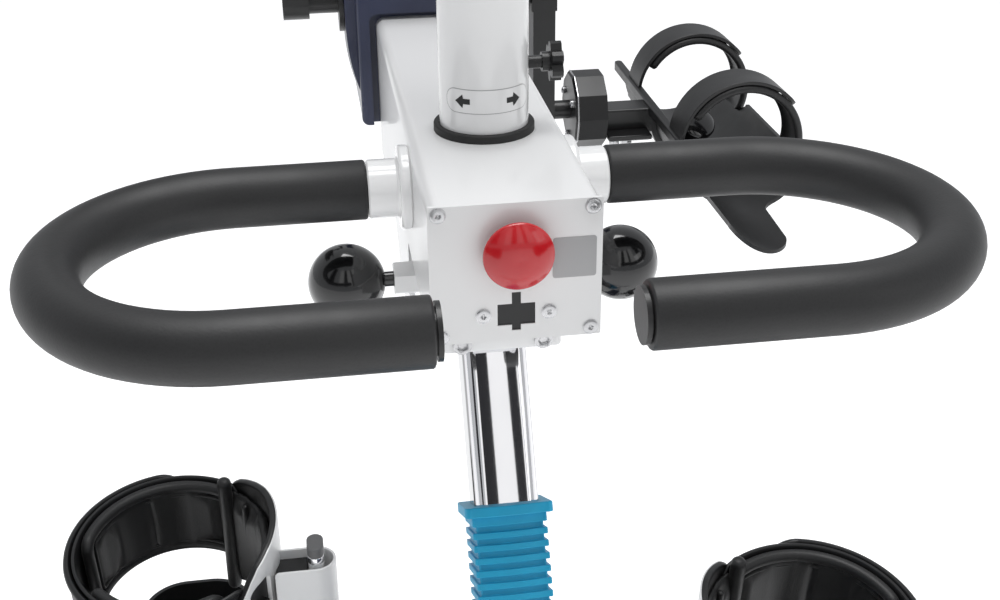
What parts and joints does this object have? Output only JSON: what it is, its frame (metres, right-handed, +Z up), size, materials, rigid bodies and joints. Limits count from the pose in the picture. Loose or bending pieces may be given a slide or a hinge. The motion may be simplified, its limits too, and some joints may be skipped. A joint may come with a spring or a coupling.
{
  "type": "sit to stand lift",
  "caption": "Standing lift trainer with a raising mast, hinged foam handlebars, a swivelling control column, an arm crank with forearm rests and a leg crank with calf cuffs.",
  "frame": {"origin": "on the floor under the middle of the whole object's box", "axes": "+Z up, -Y towards the user who faces the front plate, +X to that user's right"},
  "size_m": [0.664, 1, 1.2725],
  "materials": {
    "white_paint": "gloss",
    "navy_cover": "semi-gloss",
    "bright_chrome": "polished",
    "machined_steel": "satin",
    "screw_steel": "satin",
    "black_paint": "semi-gloss",
    "foam": "matte",
    "knob_black": "high gloss",
    "moulded_black": "fine grain",
    "black_rubber": "matte",
    "bellows_blue": "satin",
    "stop_red": "high gloss",
    "strap_webbing": "quilted",
    "pad_lining": "soft grain",
    "white_shell": "gloss",
    "panel_grey": "fine grain",
    "column_white": "gloss",
    "bush_plastic": "matte",
    "motor_casting": "cast"
  },
  "bodies": {
    "base": {"base_frame": "white_paint", "crossbar_caps": "black_rubber", "rubber_feet": "black_rubber", "mast_outer_tube": "white_paint", "mast_guide_bush": "bush_plastic", "mast_bellows": "bellows_blue", "lift_actuator": "motor_casting", "leg_housing_left": "navy_cover", "leg_housing_right": "navy_cover", "leg_gearmotor": "motor_casting"},
    "left_wheel": {"wheel_left": "moulded_black"},
    "right_wheel": {"wheel_right": "moulded_black"},
    "leg_crank": {"leg_crank_shaft": "machined_steel", "leg_crank_left": "black_paint", "leg_crank_right": "black_paint"},
    "left_pedal": {"foot_plate_left": "moulded_black", "calf_post_left": "white_paint"},
    "right_pedal": {"foot_plate_right": "moulded_black", "calf_post_right": "white_paint"},
    "left_cuff": {"cuff_shell_left": "white_shell", "cuff_pad_left": "pad_lining", "cuff_strap_left": "strap_webbing"},
    "right_cuff": {"cuff_shell_right": "white_shell", "cuff_pad_right": "pad_lining", "cuff_strap_right": "strap_webbing"},
    "head": {"mast_inner_tube": "bright_chrome", "actuator_rod": "machined_steel", "bellows_collar": "bellows_blue", "mast_block": "white_paint", "head_beam": "white_paint", "front_plate": "white_paint", "head_screws": "screw_steel", "socket_insert": "moulded_black", "stop_switch": "moulded_black", "handle_mounts": "white_paint", "column_ring": "black_rubber", "arm_drive_housing": "navy_cover", "arm_gearmotor": "motor_casting"},
    "stop_mushroom": {"stop_button": "stop_red"},
    "arm_crank": {"arm_crank_shaft": "black_paint", "arm_crank_left": "black_paint", "arm_crank_right": "black_paint"},
    "left_forearm": {"forearm_drum_left": "moulded_black", "forearm_bracket_left": "black_paint", "forearm_trough_left": "moulded_black", "forearm_straps_left": "strap_webbing"},
    "right_forearm": {"forearm_drum_right": "moulded_black", "forearm_bracket_right": "black_paint", "forearm_trough_right": "moulded_black", "forearm_straps_right": "strap_webbing"},
    "column": {"swivel_column": "column_white"},
    "panel": {"column_inner_tube": "bright_chrome", "control_panel": "panel_grey"},
    "column_clamp": {"star_knob": "knob_black"},
    "left_handle": {"handle_tube_left": "black_paint", "handle_foam_left": "foam"},
    "right_handle": {"handle_tube_right": "black_paint", "handle_foam_right": "foam"},
    "left_ball": {"ball_knob_left": "knob_black"},
    "right_ball": {"ball_knob_right": "knob_black"}
  },
  "joints": [
    {"name": "mast_lift", "type": "slide", "parent": "base", "child": "head", "axis": [0, 0.5, 0.866], "range_m": [0, 0.2], "deforming": ["mast_bellows"]},
    {"name": "leg_crank_turn", "type": "hinge", "parent": "base", "child": "leg_crank", "pos_m": [0, 0.135, 0.285], "axis": [1, 0, 0], "continuous": true},
    {"name": "left_pedal_turn", "type": "hinge", "parent": "leg_crank", "child": "left_pedal", "pos_m": [-0.12, 0.22653, 0.29204], "axis": [1, 0, 0], "continuous": true},
    {"name": "right_pedal_turn", "type": "hinge", "parent": "leg_crank", "child": "right_pedal", "pos_m": [0.12, 0.04347, 0.27796], "axis": [1, 0, 0], "continuous": true},
    {"name": "left_cuff_slide", "type": "slide", "parent": "left_pedal", "child": "left_cuff", "axis": [0, 0, 1], "range_m": [-0.04, 0.015]},
    {"name": "right_cuff_slide", "type": "slide", "parent": "right_pedal", "child": "right_cuff", "axis": [0, 0, 1], "range_m": [-0.055, 0]},
    {"name": "arm_crank_turn", "type": "hinge", "parent": "head", "child": "arm_crank", "pos_m": [0, 0.37, 0.91], "axis": [1, 0, 0], "continuous": true},
    {"name": "left_forearm_turn", "type": "hinge", "parent": "arm_crank", "child": "left_forearm", "pos_m": [-0.1495, 0.37, 1.014], "axis": [1, 0, 0], "continuous": true},
    {"name": "right_forearm_turn", "type": "hinge", "parent": "arm_crank", "child": "right_forearm", "pos_m": [0.13, 0.37, 0.806], "axis": [1, 0, 0], "continuous": true},
    {"name": "left_handle_tilt", "type": "hinge", "parent": "head", "child": "left_handle", "pos_m": [-0.065, 0.0543, 0.8697], "axis": [-1, 0, 0], "range_deg": [-20, 90]},
    {"name": "right_handle_tilt", "type": "hinge", "parent": "head", "child": "right_handle", "pos_m": [0.065, 0.0543, 0.8697], "axis": [-1, 0, 0], "range_deg": [-20, 90]},
    {"name": "left_ball_turn", "type": "hinge", "parent": "head", "child": "left_ball", "pos_m": [-0.091, 0.0688, 0.8003], "axis": [1, 0, 0], "continuous": true},
    {"name": "right_ball_turn", "type": "hinge", "parent": "head", "child": "right_ball", "pos_m": [0.091, 0.0688, 0.8003], "axis": [1, 0, 0], "continuous": true},
    {"name": "stop_press", "type": "slide", "parent": "head", "child": "stop_mushroom", "axis": [0, 1, 0], "range_m": [0, 0.004], "stiffness_N_per_m": 900},
    {"name": "column_swivel", "type": "hinge", "parent": "head", "child": "column", "pos_m": [0, 0.064, 0.95], "axis": [0, 0, 1], "range_deg": [-90, 90]},
    {"name": "panel_height", "type": "slide", "parent": "column", "child": "panel", "axis": [0, 0, 1], "range_m": [-0.01, 0.06]},
    {"name": "column_clamp_turn", "type": "hinge", "parent": "column", "child": "column_clamp", "pos_m": [0.04, 0.064, 0.9425], "axis": [1, 0, 0], "continuous": true},
    {"name": "left_wheel_spin", "type": "hinge", "parent": "base", "child": "left_wheel", "pos_m": [-0.267, 0.468, 0.036], "axis": [1, 0, 0], "continuous": true},
    {"name": "right_wheel_spin", "type": "hinge", "parent": "base", "child": "right_wheel", "pos_m": [0.267, 0.468, 0.036], "axis": [1, 0, 0], "continuous": true}
  ],
  "couplings": [
    {"joint": "left_pedal_turn", "follows": "leg_crank_turn", "ratio": -1},
    {"joint": "right_pedal_turn", "follows": "leg_crank_turn", "ratio": -1},
    {"joint": "left_forearm_turn", "follows": "arm_crank_turn", "ratio": -1},
    {"joint": "right_forearm_turn", "follows": "arm_crank_turn", "ratio": -1}
  ]
}
